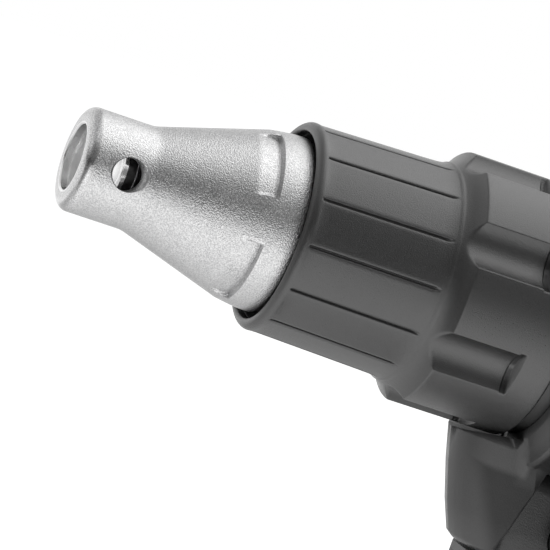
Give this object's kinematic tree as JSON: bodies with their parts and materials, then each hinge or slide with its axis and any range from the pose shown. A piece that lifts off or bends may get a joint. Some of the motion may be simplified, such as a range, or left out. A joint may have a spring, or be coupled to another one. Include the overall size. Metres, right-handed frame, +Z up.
{
  "type": "drywall screwdriver",
  "caption": "Cordless drywall screwdriver with a pull-off silver nosepiece, a turning depth collar, pistol handle and slide-on pack.",
  "frame": {"origin": "middle of the battery pack's underside, under the middle of the foot", "axes": "+X from the nose to the rear along the spindle, +Y to the tool's right side, +Z up through the handle"},
  "size_m": [0.236, 0.074, 0.261],
  "materials": {
    "silver_casting": "fine blasted casting",
    "soft_rubber": "matte soft cover",
    "housing_plastic": "fine textured nylon",
    "black_plastic": "matte",
    "case_metal": "black coated aluminium",
    "ground_steel": "ground",
    "bright_steel": "polished",
    "black_steel": "black oxide",
    "gear_steel": "hardened",
    "cast_alloy": "as cast",
    "bronze": "sintered",
    "brass": "turned",
    "core_iron": "stacked sheets",
    "winding": "lacquered wire",
    "board": "coated board",
    "module_plastic": "potted",
    "cell_wrap": "shrink wrap",
    "nickel": "strip",
    "lead_wire": "insulated wire"
  },
  "bodies": {
    "housing": {"gear_case": "case_metal", "gear_plate": "cast_alloy", "case_screws": "black_steel", "bearing_outer": "ground_steel", "bearing_circlip": "black_steel", "rear_bush": "bronze", "motor_bearings": "bright_steel", "stator": "core_iron", "stator_coils": "winding", "sensor_board": "board", "motor_end_bell": "cast_alloy", "left_shell": "housing_plastic", "right_shell": "housing_plastic", "left_grip": "soft_rubber", "right_grip": "soft_rubber", "rear_bumper": "soft_rubber", "shell_screws": "black_steel", "switch_body": "module_plastic", "control_module": "module_plastic", "terminal_block": "module_plastic", "motor_leads": "lead_wire", "hook_inserts": "brass"},
    "depth_slider": {"depth_sleeve": "ground_steel", "snap_ring": "black_steel"},
    "depth_collar": {"collar_core": "black_plastic", "collar_grip": "soft_rubber"},
    "nose_cone": {"nosepiece": "silver_casting"},
    "spindle_race": {"bearing_inner": "ground_steel", "bearing_balls": "bright_steel"},
    "spindle_set": {"spindle": "ground_steel", "clutch_disc": "gear_steel", "clutch_spring": "gear_steel", "bit_holder": "black_steel", "magnet_ring": "bright_steel", "holder_ring": "bright_steel"},
    "gear": {"drive_gear": "gear_steel"},
    "rotor": {"motor_shaft": "ground_steel", "pinion": "gear_steel", "rotor_core": "core_iron", "cooling_fan": "module_plastic"},
    "trigger_set": {"trigger": "black_plastic", "trigger_spring": "gear_steel"},
    "lock": {"lock_button": "black_plastic"},
    "direction": {"direction_button": "black_plastic"},
    "pack": {"pack_upper": "black_plastic", "pack_lower": "black_plastic", "cells": "cell_wrap", "cell_straps": "nickel", "pack_screws": "black_steel"},
    "latch": {"pack_latch": "black_plastic", "latch_spring": "gear_steel"}
  },
  "joints": [
    {"name": "depth_slide", "type": "slide", "parent": "housing", "child": "depth_slider", "axis": [1, 0, 0], "range_m": [-0.003, 0.003]},
    {"name": "depth_turn", "type": "hinge", "parent": "depth_slider", "child": "depth_collar", "pos_m": [-0.098, 0, 0.224], "axis": [1, 0, 0], "range_deg": [-180, 180]},
    {"name": "nose_pull", "type": "slide", "parent": "depth_slider", "child": "nose_cone", "axis": [-1, 0, 0], "range_m": [0, 0.045]},
    {"name": "spindle_spin", "type": "hinge", "parent": "housing", "child": "spindle_race", "pos_m": [-0.082, 0, 0.224], "axis": [1, 0, 0], "continuous": true},
    {"name": "spindle_push", "type": "slide", "parent": "spindle_race", "child": "spindle_set", "axis": [1, 0, 0], "range_m": [0, 0.003], "stiffness_N_per_m": 2000, "springref_m": -0.003, "deforming": ["clutch_spring"]},
    {"name": "rotor_spin", "type": "hinge", "parent": "housing", "child": "rotor", "pos_m": [-0.002, 0, 0.206], "axis": [1, 0, 0], "continuous": true},
    {"name": "gear_spin", "type": "hinge", "parent": "housing", "child": "gear", "pos_m": [-0.047, 0, 0.224], "axis": [1, 0, 0], "continuous": true},
    {"name": "trigger_pull", "type": "slide", "parent": "housing", "child": "trigger_set", "axis": [1, 0, 0], "range_m": [0, 0.006], "stiffness_N_per_m": 900, "springref_m": -0.002, "deforming": ["trigger_spring"]},
    {"name": "lock_press", "type": "slide", "parent": "housing", "child": "lock", "axis": [0, 1, 0], "range_m": [0, 0.0025], "stiffness_N_per_m": 1200, "springref_m": -0.001},
    {"name": "direction_shift", "type": "slide", "parent": "housing", "child": "direction", "axis": [0, 1, 0], "range_m": [-0.004, 0.004]},
    {"name": "pack_slide", "type": "slide", "parent": "housing", "child": "pack", "axis": [-1, 0, 0], "range_m": [0, 0.105]},
    {"name": "latch_press", "type": "slide", "parent": "pack", "child": "latch", "axis": [0, 0, -1], "range_m": [0, 0.004], "stiffness_N_per_m": 1200, "springref_m": -0.001, "deforming": ["latch_spring"]}
  ],
  "couplings": [
    {"joint": "depth_turn", "follows": "depth_slide", "rad_per_m": 1047},
    {"joint": "gear_spin", "follows": "rotor_spin", "ratio": -0.25}
  ]
}
